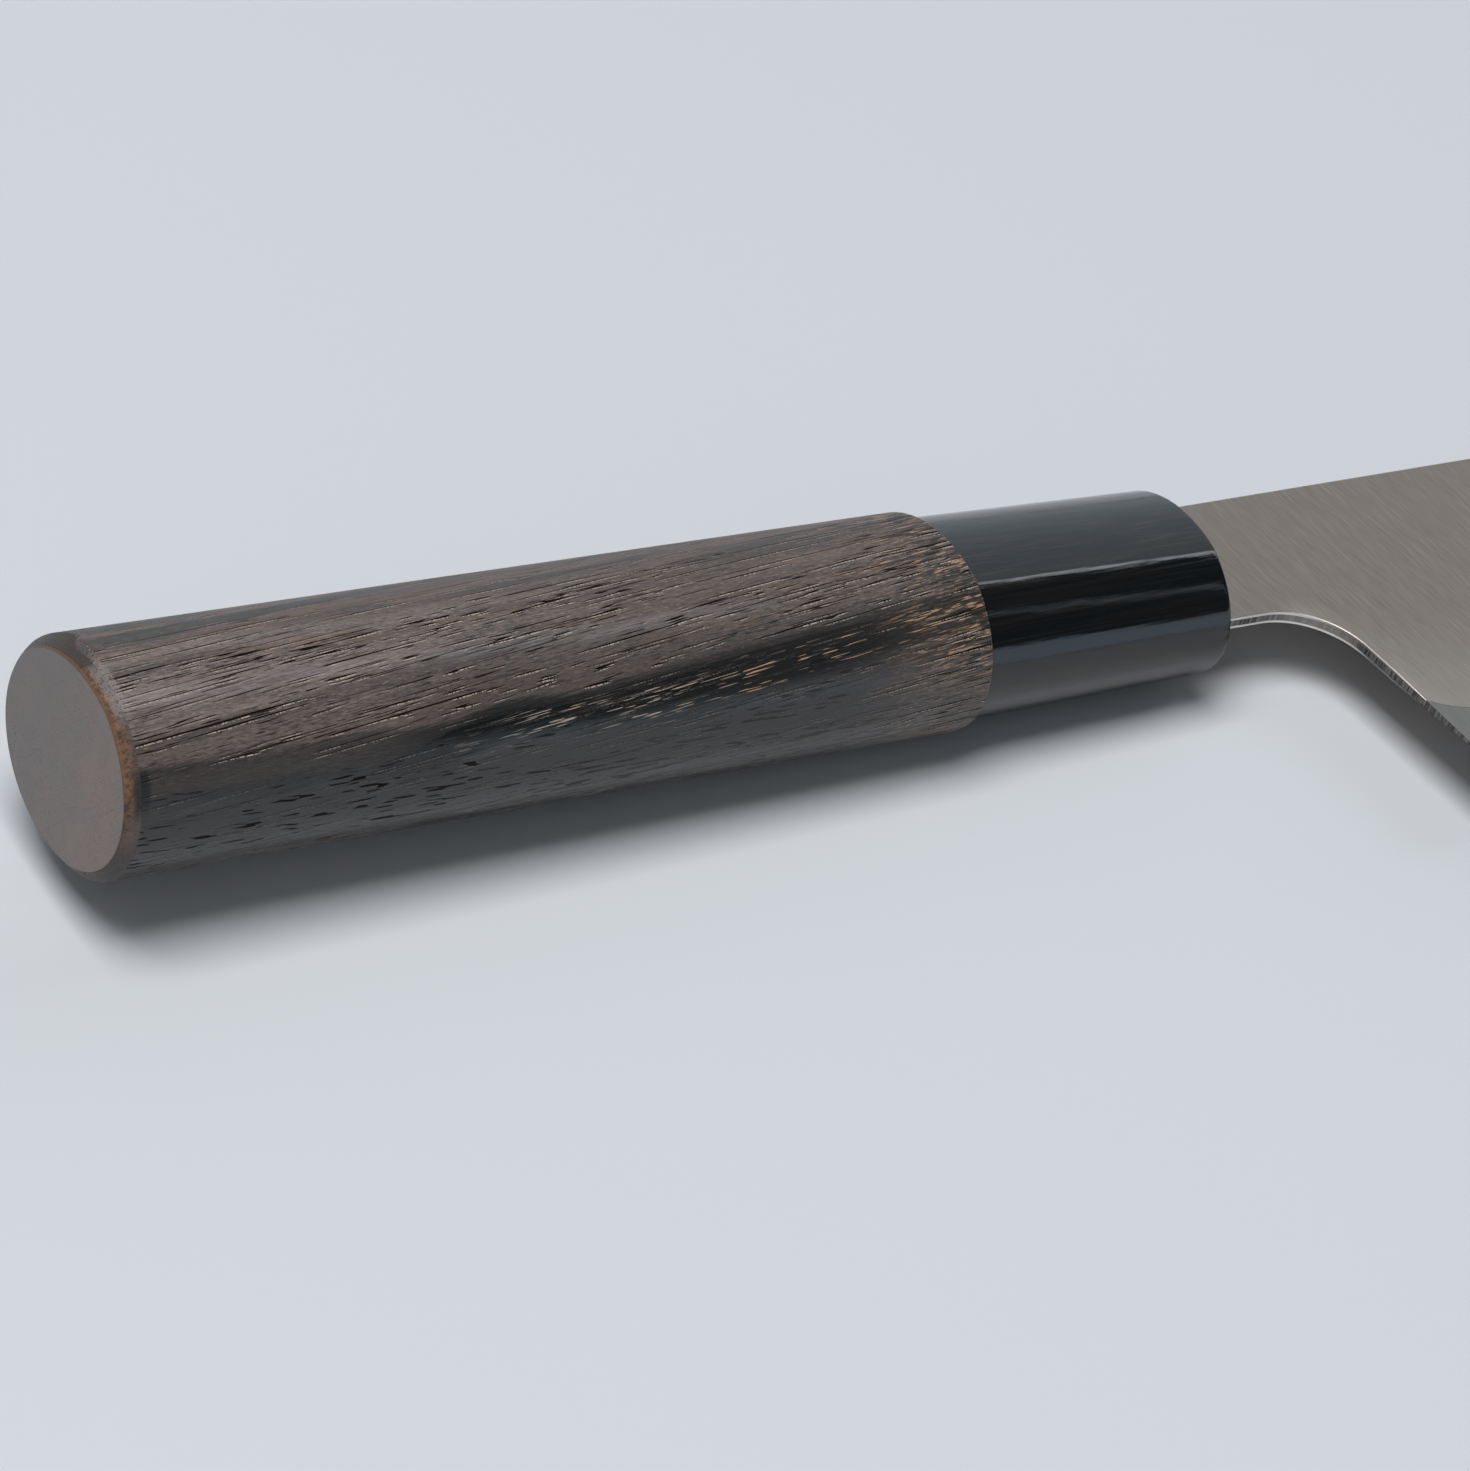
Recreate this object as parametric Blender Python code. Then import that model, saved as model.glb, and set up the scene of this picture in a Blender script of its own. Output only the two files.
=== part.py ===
# Santoku knife with a three-layer blade and a wooden wa handle, lying on its left side.
#
# The knife is drawn in its own frame, in metres: +X runs from the handle to the tip, +Y from
# the edge to the spine and +Z out of the right face. The origin is the centre of the
# ferrule's front end. The last step lays the knife down on z = 0, the way it comes to rest,
# with the middle of its footprint at x = y = 0.

import math

import bmesh
import bpy
from mathutils import Vector, geometry

# Handle, over the butt, the wooden grip and the ferrule
HANDLE_LENGTH = 0.126
FERRULE_LENGTH = 0.0306
BUTT_HEIGHT = 0.0248
BUTT_WIDTH = 0.0208
GRIP_FRONT_HEIGHT = 0.0246
GRIP_FRONT_WIDTH = 0.0200
FERRULE_STEP = 0.0008
FERRULE_FRONT_HEIGHT = 0.0220
FERRULE_FRONT_WIDTH = 0.0166
BUTT_CHAMFER = 0.0012
GRIP_FRONT_ROUND = 0.0004
FERRULE_FRONT_ROUND = 0.0003

# Soft ridge along the right face of the handle, towards the edge side
RIDGE_RISE = 0.00045
RIDGE_ANGLE = math.radians(115)
RIDGE_SPREAD = math.radians(26)
SECTION_STEPS = 96
ROUND_STEPS = 2

# Blade outline
BLADE_LENGTH = 0.165
SPINE_OFFSET = 0.00995
SPINE_RISE = math.radians(0.9)
NECK_OFFSET = 0.0076
HEEL_SETBACK = 0.0179
HEEL_DEPTH = 0.0350
HEEL_LEAN = math.radians(7)
CHOIL_RADIUS = 0.0082
CHOIL_STEPS = 12
NOSE_LENGTH = 0.058
TIP_RISE = 0.0080
EDGE_FLAT = 0.062
NOSE_STEPS = 14
EDGE_STEPS = 18

# Blade thickness, and the three layers
SPINE_THICKNESS = 0.0018
TIP_THINNING = 0.00044
EDGE_THINNING = 0.008
CORE_THICKNESS = 0.00072
EDGE_THICKNESS = 0.0001
CLADDING_EDGE = 0.00004
LAYER_GAP = 0.00002
CORE_REVEAL = 0.0095
BEVEL_HEIGHT = 0.0150

# Tang, and what holds it in the handle
NECK_LENGTH = 0.0100
TANG_LENGTH = 0.064
TANG_ROOT_HEIGHT = 0.0072
TANG_END_HEIGHT = 0.0050
FIT_GAP = 0.00025
ADHESIVE_WALL = 0.0006
DOWEL_DIAMETER = 0.0130
DOWEL_END_WALL = 0.0040
DOWEL_STEPS = 48
SEAL_GAP = 0.00008
SEAL_WALL = 0.00034
SEAL_DEPTH = 0.0015
SEAL_RECESS = 0.0002

# How far a cutter runs past an open end, and where smooth shading stops
CUT_THROUGH = 0.0020
SHARP_ANGLE = math.radians(25)

# Colour, roughness, metallic value and density in kg per cubic metre, piece by piece
CORE_STEEL = ((0.42, 0.42, 0.42), 0.30, 1.0, 7850)
CLADDING_STEEL = ((0.45, 0.43, 0.41), 0.38, 1.0, 7850)
STAINED_WOOD = ((0.105, 0.070, 0.050), 0.45, 0.0, 600)
BLACK_PAKKAWOOD = ((0.012, 0.013, 0.015), 0.12, 0.0, 1100)
DOWEL_WOOD = ((0.55, 0.40, 0.24), 0.60, 0.0, 600)
RESIN = ((0.30, 0.24, 0.12), 0.35, 0.0, 1100)
SEALANT = ((0.02, 0.02, 0.02), 0.40, 0.0, 1100)
LOOKS = {
    "blade_core": CORE_STEEL,
    "cladding_right": CLADDING_STEEL,
    "cladding_left": CLADDING_STEEL,
    "grip": STAINED_WOOD,
    "ferrule": BLACK_PAKKAWOOD,
    "dowel": DOWEL_WOOD,
    "tang_adhesive": RESIN,
    "mouth_seal": SEALANT,
}

BUTT_X = -HANDLE_LENGTH
JOINT_X = -FERRULE_LENGTH
TIP_X = HEEL_SETBACK + BLADE_LENGTH
CORE_HALF = CORE_THICKNESS / 2
LAYER_START = CORE_HALF + LAYER_GAP
DOWEL_FRONT = -NECK_LENGTH - 2 * FIT_GAP
DOWEL_BACK = -TANG_LENGTH - 2 * FIT_GAP - ADHESIVE_WALL - DOWEL_END_WALL


# Scene, materials and small mesh helpers

def clear_scene():
    for thing in list(bpy.data.objects):
        bpy.data.objects.remove(thing, do_unlink=True)


def make_material(name):
    color, roughness, metallic, _ = LOOKS[name]
    material = bpy.data.materials.new(name)
    material.use_nodes = True
    shader = material.node_tree.nodes["Principled BSDF"]
    shader.inputs["Base Color"].default_value = (*color, 1)
    shader.inputs["Roughness"].default_value = roughness
    shader.inputs["Metallic"].default_value = metallic
    material.diffuse_color = (*color, 1)
    return material


def add_object(name, bm):
    # A name in LOOKS is a piece of the knife, and any other name is a cutter.
    bmesh.ops.recalc_face_normals(bm, faces=bm.faces)
    mesh = bpy.data.meshes.new(name)
    bm.to_mesh(mesh)
    bm.free()
    mesh.shade_smooth()
    mesh.set_sharp_from_angle(angle=SHARP_ANGLE)
    thing = bpy.data.objects.new(name, mesh)
    bpy.context.collection.objects.link(thing)
    if name in LOOKS:
        mesh.materials.append(make_material(name))
    else:
        thing.hide_render = True
        thing.display_type = "WIRE"
    return thing


def loft(name, rings):
    bm = bmesh.new()
    loops = [[bm.verts.new(point) for point in ring] for ring in rings]
    for near, far in zip(loops, loops[1:]):
        for i in range(len(near)):
            j = (i + 1) % len(near)
            bm.faces.new((near[i], near[j], far[j], far[i]))
    bm.faces.new(loops[0])
    bm.faces.new(loops[-1])
    return add_object(name, bm)


def cut(piece, cutter):
    boolean = piece.modifiers.new(cutter.name, "BOOLEAN")
    boolean.operation = "DIFFERENCE"
    boolean.solver = "EXACT"
    boolean.object = cutter


# Handle

def oval(x, height, width, inset=0.0):
    # An ellipse that starts at the ridge, where it stands out most.
    ring = []
    for step in range(SECTION_STEPS):
        around = math.tau * step / SECTION_STEPS
        away = min(around, math.tau - around)
        angle = RIDGE_ANGLE + around
        point = Vector((0, height / 2 * math.cos(angle), width / 2 * math.sin(angle)))
        reach = point.length + RIDGE_RISE * math.exp(-away / RIDGE_SPREAD) - inset
        ring.append(Vector((x, 0, 0)) + point.normalized() * reach)
    return ring


def rounded_end(x, height, width, radius, inward, steps):
    # Rings from an end face at x back to the full section; one step makes a chamfer.
    rings = []
    for step in range(steps + 1):
        turn = math.pi / 2 * step / steps
        along = radius * (1 - math.sin(turn))
        rings.append(oval(x + inward * along, height, width, radius * (1 - math.cos(turn))))
    return rings[::-1]


def disc(x, diameter):
    return [Vector((x, diameter / 2 * math.cos(math.tau * step / DOWEL_STEPS),
                    diameter / 2 * math.sin(math.tau * step / DOWEL_STEPS)))
            for step in range(DOWEL_STEPS)]


def tang_half_height(x):
    share = (-x - NECK_LENGTH) / (TANG_LENGTH - NECK_LENGTH)
    return (TANG_ROOT_HEIGHT + (TANG_END_HEIGHT - TANG_ROOT_HEIGHT) * share) / 2


def spine_at(x):
    return SPINE_OFFSET + x * math.tan(SPINE_RISE)


def face_half(x, y):
    return SPINE_THICKNESS / 2 - TIP_THINNING * x - EDGE_THINNING * (spine_at(x) - y)


def block(name, stations, margin):
    # Each station is x, the lower y, the upper y and the half thickness of what it wraps.
    rings = []
    for x, low, high, half in stations:
        low, high, half = low - margin, high + margin, half + margin
        rings.append([Vector((x, low, -half)), Vector((x, high, -half)),
                      Vector((x, high, half)), Vector((x, low, half))])
    return loft(name, rings)


def tang_block(name, front, back, margin):
    stations = []
    for x in (back, front):
        half = tang_half_height(x)
        stations.append((x, -half, half, face_half(x, half)))
    return block(name, stations, margin)


def neck_block(name, front, back, margin):
    stations = [(x, -NECK_OFFSET, spine_at(x), face_half(x, spine_at(x))) for x in (back, front)]
    return block(name, stations, margin)


# Blade layers

def arc(start, heading, radius, turn, steps):
    # Points along an arc after its start; a positive turn bends to the left.
    side = math.copysign(1, turn)
    centre = start + side * radius * Vector((-math.sin(heading), math.cos(heading)))
    points = []
    for step in range(1, steps + 1):
        angle = heading + turn * step / steps
        points.append(centre + side * radius * Vector((math.sin(angle), -math.cos(angle))))
    return points


def heel_point(height):
    return Vector((HEEL_SETBACK - height * math.tan(HEEL_LEAN), height - HEEL_DEPTH))


def choil_curve():
    # The neck's underside runs forward, then bends down into the heel line.
    heading = HEEL_LEAN - math.pi / 2
    corner = heel_point(HEEL_DEPTH - NECK_OFFSET)
    reach = CHOIL_RADIUS * math.tan(-heading / 2)
    start = corner - Vector((reach, 0))
    return [start] + arc(start, 0, CHOIL_RADIUS, heading, CHOIL_STEPS)


def edge_curve():
    heel = heel_point(0)
    start = heel + Vector((EDGE_FLAT, 0))
    run = TIP_X - start.x
    turn = 2 * math.atan(TIP_RISE / run)
    return [heel, start] + arc(start, 0, run / math.sin(turn), turn, EDGE_STEPS)


def nose_curve(tip):
    # From the tip back up to where the spine runs straight.
    start = Vector((TIP_X - NOSE_LENGTH, spine_at(TIP_X - NOSE_LENGTH)))
    chord = tip - start
    turn = 2 * (math.atan2(chord.y, chord.x) - SPINE_RISE)
    radius = chord.length / (2 * math.sin(-turn / 2))
    return arc(start, SPINE_RISE, radius, turn, NOSE_STEPS)[::-1][1:] + [start]


def tang_curve():
    root, end = tang_half_height(-NECK_LENGTH), tang_half_height(-TANG_LENGTH)
    upper = [Vector((-NECK_LENGTH, spine_at(-NECK_LENGTH))), Vector((-NECK_LENGTH, root)),
             Vector((-TANG_LENGTH, end))]
    lower = [Vector((-TANG_LENGTH, -end)), Vector((-NECK_LENGTH, -root)),
             Vector((-NECK_LENGTH, -NECK_OFFSET))]
    return upper + lower


def raised(edge, low, high):
    # The edge curve lifted to run from low, on the heel line, to high, on the nose.
    first, last = low - edge[0], high - edge[-1]
    return [point + first.lerp(last, i / (len(edge) - 1)) for i, point in enumerate(edge)]


def strip(lower, upper):
    return [(lower[i], lower[i + 1], upper[i + 1], upper[i]) for i in range(len(lower) - 1)]


def slab(name, plan, low, high):
    # Plan faces given counter-clockwise, as a solid between the heights low and high.
    bm = bmesh.new()
    corners = {}
    for face in plan:
        for point in face:
            key = tuple(point)
            if key not in corners:
                corners[key] = [bm.verts.new((*point, height(point))) for height in (low, high)]
    rims = [[tuple(point) for point in face] for face in plan]
    sides = {(rim[i - 1], rim[i]) for rim in rims for i in range(len(rim))}
    for rim in rims:
        bm.faces.new([corners[key][1] for key in rim])
        bm.faces.new([corners[key][0] for key in rim[::-1]])
    for start, end in sides:
        if (end, start) not in sides:
            bm.faces.new((corners[start][0], corners[end][0], corners[end][1], corners[start][1]))
    return add_object(name, bm)


def build_blade():
    edge = edge_curve()
    nose = nose_curve(edge[-1])
    reveal = raised(edge, heel_point(CORE_REVEAL), nose[0])
    shoulder = raised(edge, heel_point(BEVEL_HEIGHT), nose[1])
    choil = choil_curve()
    neck = [Vector((choil[0].x, spine_at(choil[0].x)))]
    tang = neck + tang_curve() + choil[:1]
    edge_keys = {tuple(point) for point in edge}
    reveal_keys = {tuple(point) for point in reveal}

    def core_half(point):
        return EDGE_THICKNESS / 2 if tuple(point) in edge_keys else CORE_HALF

    def outer_half(point):
        if tuple(point) in reveal_keys:
            return LAYER_START + CLADDING_EDGE
        return face_half(point.x, point.y)

    core = strip(edge, reveal) + [reveal + nose[1:] + neck + choil, tang]
    slab("blade_core", core, lambda point: -core_half(point), core_half)
    cover = strip(reveal, shoulder) + [shoulder + nose[2:] + neck + choil, tang]
    slab("cladding_right", cover, lambda point: LAYER_START, outer_half)
    slab("cladding_left", cover, lambda point: -outer_half(point), lambda point: -LAYER_START)


# Handle pieces, each cut by what it holds

def build_grip(bore):
    rings = rounded_end(BUTT_X, BUTT_HEIGHT, BUTT_WIDTH, BUTT_CHAMFER, 1, 1)
    rings += rounded_end(JOINT_X - FIT_GAP, GRIP_FRONT_HEIGHT, GRIP_FRONT_WIDTH,
                         GRIP_FRONT_ROUND, -1, ROUND_STEPS)[::-1]
    cut(loft("grip", rings), bore)


def build_ferrule(bore):
    rings = [oval(JOINT_X, GRIP_FRONT_HEIGHT - 2 * FERRULE_STEP,
                  GRIP_FRONT_WIDTH - 2 * FERRULE_STEP)]
    rings += rounded_end(0, FERRULE_FRONT_HEIGHT, FERRULE_FRONT_WIDTH,
                         FERRULE_FRONT_ROUND, -1, ROUND_STEPS)[::-1]
    ferrule = loft("ferrule", rings)
    cut(ferrule, bore)
    cut(ferrule, neck_block("neck_slot", CUT_THROUGH, DOWEL_FRONT, 2 * SEAL_GAP + SEAL_WALL))


def build_dowel():
    dowel = loft("dowel", [disc(DOWEL_BACK, DOWEL_DIAMETER), disc(DOWEL_FRONT, DOWEL_DIAMETER)])
    cut(dowel, tang_block("tang_slot", DOWEL_FRONT + CUT_THROUGH, DOWEL_BACK + DOWEL_END_WALL,
                          2 * FIT_GAP + ADHESIVE_WALL))


def build_adhesive():
    back = -TANG_LENGTH - FIT_GAP
    adhesive = tang_block("tang_adhesive", DOWEL_FRONT - FIT_GAP, back - ADHESIVE_WALL,
                          FIT_GAP + ADHESIVE_WALL)
    cut(adhesive, tang_block("tang_pocket", DOWEL_FRONT + CUT_THROUGH, back, FIT_GAP))


def build_seal():
    back = -SEAL_RECESS - SEAL_DEPTH
    seal = neck_block("mouth_seal", -SEAL_RECESS, back, SEAL_GAP + SEAL_WALL)
    cut(seal, neck_block("seal_opening", CUT_THROUGH, back - CUT_THROUGH, SEAL_GAP))


def build_handle():
    bore_size = DOWEL_DIAMETER + 2 * FIT_GAP
    bore = loft("dowel_bore", [disc(DOWEL_BACK - FIT_GAP, bore_size),
                               disc(DOWEL_FRONT + FIT_GAP, bore_size)])
    build_grip(bore)
    build_ferrule(bore)
    build_dowel()
    build_adhesive()
    build_seal()


# Laying the knife down

def evaluated(thing):
    bm = bmesh.new()
    bm.from_object(thing, bpy.context.evaluated_depsgraph_get())
    bmesh.ops.triangulate(bm, faces=bm.faces)
    return bm


def resting_face(pieces):
    # The lowest face of the convex hull that the centre of mass stands over.
    hull = bmesh.new()
    mass, moment = 0.0, Vector((0, 0, 0))
    for piece in pieces:
        body = evaluated(piece)
        density = LOOKS[piece.name][3]
        for face in body.faces:
            a, b, c = (vert.co for vert in face.verts)
            share = density * a.dot(b.cross(c)) / 6
            mass += share
            moment += share * (a + b + c) / 4
        for vert in body.verts:
            hull.verts.new(vert.co)
        body.free()
    centre = moment / mass
    bmesh.ops.convex_hull(hull, input=hull.verts)
    lowest = Vector((0, 0, 0))
    for face in hull.faces:
        a, b, c = (vert.co for vert in face.verts)
        if geometry.intersect_ray_tri(a, b, c, face.normal, centre):
            if face.normal.z < lowest.z:
                lowest = face.normal.copy()
    hull.free()
    return lowest


def lay_down(pieces):
    under = resting_face(pieces)
    rest = bpy.data.objects.new("rest", None)
    bpy.context.collection.objects.link(rest)
    for thing in bpy.data.objects:
        if thing != rest:
            thing.parent = rest
    turn = under.rotation_difference(Vector((0, 0, -1)))
    cloud = []
    for piece in pieces:
        body = evaluated(piece)
        cloud += [turn @ vert.co for vert in body.verts]
        body.free()
    low = [min(point[i] for point in cloud) for i in range(3)]
    high = [max(point[i] for point in cloud) for i in range(3)]
    rest.rotation_mode = "QUATERNION"
    rest.rotation_quaternion = turn
    rest.location = (-(low[0] + high[0]) / 2, -(low[1] + high[1]) / 2, -low[2])


clear_scene()
build_blade()
build_handle()
lay_down([thing for thing in bpy.data.objects if not thing.hide_render])
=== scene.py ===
# Santoku knife on a pale floor: dark wooden wa handle, black ferrule, three-layer blade
import math

import bmesh
import bpy
import numpy as np
from mathutils import Matrix, Quaternion, Vector, geometry


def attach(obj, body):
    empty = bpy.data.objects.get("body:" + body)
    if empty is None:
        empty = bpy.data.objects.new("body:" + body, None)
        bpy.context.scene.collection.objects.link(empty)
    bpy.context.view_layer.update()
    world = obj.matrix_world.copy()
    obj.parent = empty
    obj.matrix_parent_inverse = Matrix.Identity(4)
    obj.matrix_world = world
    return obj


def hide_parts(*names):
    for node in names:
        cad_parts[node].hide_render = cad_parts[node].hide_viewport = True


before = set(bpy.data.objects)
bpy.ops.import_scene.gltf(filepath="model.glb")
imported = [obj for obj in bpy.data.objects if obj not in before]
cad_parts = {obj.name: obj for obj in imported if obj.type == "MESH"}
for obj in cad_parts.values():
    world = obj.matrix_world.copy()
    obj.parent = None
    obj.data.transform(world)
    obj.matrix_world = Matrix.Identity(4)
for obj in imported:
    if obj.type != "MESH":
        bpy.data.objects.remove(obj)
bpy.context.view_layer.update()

# The knife's own frame, in metres: +X to the tip, +Y to the spine, +Z out of the right face,
# from the middle of the ferrule's front end. This is how it lies on the floor.
knifeRest = {
    "turn": (0.9996606111526489, -0.011471574194729328, 0.02338910847902298, 0.0),
    "place": (-0.02821221947669983, 0.011283274739980698, 0.00851024966686964),
}
restTurn = Quaternion(knifeRest["turn"]).normalized().to_matrix()
restPlace = Vector(knifeRest["place"])
restMatrix = Matrix.Translation(restPlace) @ restTurn.to_4x4()
mm = 0.001
buttX = -126.0                           # the handle's flat end, in millimetres


# Node helpers, for materials and for Geometry Nodes alike

class Wire:
    # One output of a node. The usual signs put Math nodes behind it.
    def __init__(self, maker, socket):
        self.maker = maker
        self.socket = socket

    def output(self, name):
        return Wire(self.maker, self.socket.node.outputs[name])

    def math(self, operation, *others):
        values = dict(enumerate((self,) + others))
        return self.maker.node("ShaderNodeMath", {"operation": operation}, values)

    def __add__(self, other):
        return self.math("ADD", other)

    __radd__ = __add__

    def __sub__(self, other):
        return self.math("SUBTRACT", other)

    def __rsub__(self, other):
        return self.math("MULTIPLY_ADD", -1.0, other)

    def __mul__(self, other):
        return self.math("MULTIPLY", other)

    __rmul__ = __mul__

    def __truediv__(self, other):
        return self.math("DIVIDE", other)

    def rise(self, low, high):
        # 0 below low and 1 above high, smooth in between; low above high turns it round
        values = {"Value": self, "From Min": low, "From Max": high}
        return self.maker.node("ShaderNodeMapRange", {"interpolation_type": "SMOOTHSTEP"}, values)

    def near(self, wide, narrow):
        # 1 within narrow of zero and 0 beyond wide, on both sides
        return self.math("ABSOLUTE").rise(wide, narrow)


class NodeMaker:
    def __init__(self, tree):
        self.tree = tree

    def node(self, kind, settings=None, values=None, out=0):
        made = self.tree.nodes.new(kind)
        for name, value in (settings or {}).items():
            setattr(made, name, value)
        self.feed(made, values or {})
        return Wire(self, made.outputs[out]) if made.outputs else made

    def feed(self, made, values):
        for name, value in values.items():
            if isinstance(value, Wire):
                self.tree.links.new(value.socket, made.inputs[name])
            else:
                made.inputs[name].default_value = value

    def stretch(self, point, lengths):
        # The pattern is this much longer along each axis
        scale = tuple(1 / length for length in lengths)
        return self.node("ShaderNodeVectorMath", {"operation": "MULTIPLY"}, {0: point, 1: scale})

    def shift(self, point, step):
        return self.node("ShaderNodeVectorMath", {"operation": "ADD"}, {0: point, 1: step})

    def split(self, point):
        x = self.node("ShaderNodeSeparateXYZ", None, {0: point})
        return x, x.output("Y"), x.output("Z")

    def join(self, x, y, z):
        return self.node("ShaderNodeCombineXYZ", None, {0: x, 1: y, 2: z})

    def noise(self, point, lengths, detail, rough=0.5):
        values = {"Vector": self.stretch(point, lengths), "Scale": 1.0, "Detail": detail,
                  "Roughness": rough}
        return self.node("ShaderNodeTexNoise", None, values)

    # A Mix node has many sockets of the same name, so these go by their places

    def blend(self, share, first, second):
        settings = {"data_type": "RGBA", "blend_type": "MIX"}
        first, second = ((*c, 1) if isinstance(c, tuple) else c for c in (first, second))
        return self.node("ShaderNodeMix", settings, {0: share, 6: first, 7: second}, out=2)

    def between(self, share, first, second):
        return self.node("ShaderNodeMix", {"data_type": "FLOAT"}, {0: share, 2: first, 3: second})

    def betweenPoints(self, share, first, second):
        settings = {"data_type": "VECTOR"}
        return self.node("ShaderNodeMix", settings, {0: share, 4: first, 5: second}, out=1)

    def bump(self, height, depth, normal=None):
        values = {"Height": height, "Distance": depth, "Strength": 1.0}
        if normal:
            values["Normal"] = normal
        return self.node("ShaderNodeBump", None, values)


class Finish(NodeMaker):
    # A material, with patterns measured in millimetres in the knife's own frame. Each pattern
    # has its lengths along the axes, its detail and its roughness, and may be moved by a step.
    def __init__(self, name, patterns=None):
        self.material = bpy.data.materials.new(name)
        self.material.use_nodes = True
        super().__init__(self.material.node_tree)
        self.shader = self.tree.nodes["Principled BSDF"]
        self.patterns = patterns

    def knifePoint(self, turn=Matrix.Identity(3)):
        # The place in the knife's own frame, from the knife as it lies on the floor
        intoKnife = turn @ restTurn.transposed()
        scale = 1 / mm
        values = {"Vector": self.node("ShaderNodeTexCoord", out="Object"),
                  "Location": intoKnife @ restPlace * -scale,
                  "Rotation": intoKnife.to_euler("XYZ"), "Scale": (scale, scale, scale)}
        return self.node("ShaderNodeMapping", {"vector_type": "POINT"}, values)

    def pattern(self, name, point):
        lengths, detail, rough, *step = self.patterns[name]
        if step:
            point = self.shift(point, step[0])
        return self.noise(point, lengths, detail, rough)

    def put(self, values):
        self.feed(self.shader, values)


def addMesh(name, mesh, material, node):
    piece = bpy.data.objects.new(name, mesh)
    bpy.context.scene.collection.objects.link(piece)
    # A swept shell brings its material along
    if material.name not in mesh.materials:
        mesh.materials.append(material)
    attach(piece, "root")
    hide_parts(node)


def outward(mesh):
    # Turns a closed mesh right side out
    body = bmesh.new()
    body.from_mesh(mesh)
    if body.calc_volume(signed=True) < 0:
        bmesh.ops.reverse_faces(body, faces=body.faces)
        body.to_mesh(mesh)
    body.free()


# Wood of the grip. Places along, up and out are millimetres in the knife's own frame.

woodLook = {
    "slant": 4.5, "lean": 3.0,           # degrees the growth layers run off the handle's axis
    "sway": (0.0, 2.0, -1.4),            # millimetres that their waves move them
    "spiral": 0.0095,                    # radians that the fibres turn for each millimetre
    "roundOval": (1, 1.09, 0.91),        # makes the oval section round for them
    "tickTurn": -0.0115,                 # radians round from a pore to the painted highlight under it
    "layerDrop": 11.1,                   # the black layer lies this far below the middle,
    "climbPlace": 100, "climb": 0.074,   # and from here it climbs towards the ferrule
    "layerRagged": 1.8,
    "layerSwell": 0.8, "swellPlace": 88,
    "ridgeDrop": 4.5,                    # the soft ridge below the middle of the right side
    "notchDrop": 10.9,                   # the black notch at the chamfer's outer edge
    "notchPlace": 124.6,
    "deepTone": (0.050, 0.036, 0.030),
    "duskTone": (0.100, 0.076, 0.069),
    "midTone": (0.149, 0.113, 0.101),
    "paleTone": (0.209, 0.165, 0.149),
    "warmTone": (0.205, 0.130, 0.090),
    "slateTone": (0.062, 0.063, 0.063),
    "blackTone": (0.006, 0.006, 0.005),
    "poreTone": (0.012, 0.006, 0.004),
    "creamTone": (0.48, 0.40, 0.33),
    "sparkTone": (0.49, 0.30, 0.18),
    "shadyTone": (0.036, 0.035, 0.036),
    # painted highlight, on the ridge and where the chamfer meets the side
    "crestTone": (0.275, 0.250, 0.242),
    "rawTone": (0.180, 0.084, 0.036),
    "rawPale": (0.30, 0.21, 0.14),
    "charTone": (0.042, 0.024, 0.016),
    "facetTone": (0.048, 0.038, 0.032),
    "endTone": (0.155, 0.138, 0.130),
    "endWarm": (0.198, 0.150, 0.131),
    "dull": 0.50, "shadyPolish": 0.28, "endPolish": 0.13, "fibrePolish": 0.08,
    "poreDull": 0.4, "poreMetal": 0.9, "crestDull": 0.30,
    "ior": 1.5,
    "poreDepth": 0.00006,
    "fibreDepth": 0.00002,
    "shadySmooth": 0.85, "crestSmooth": 0.6, "vesselHeight": 0.15,
}
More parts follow.
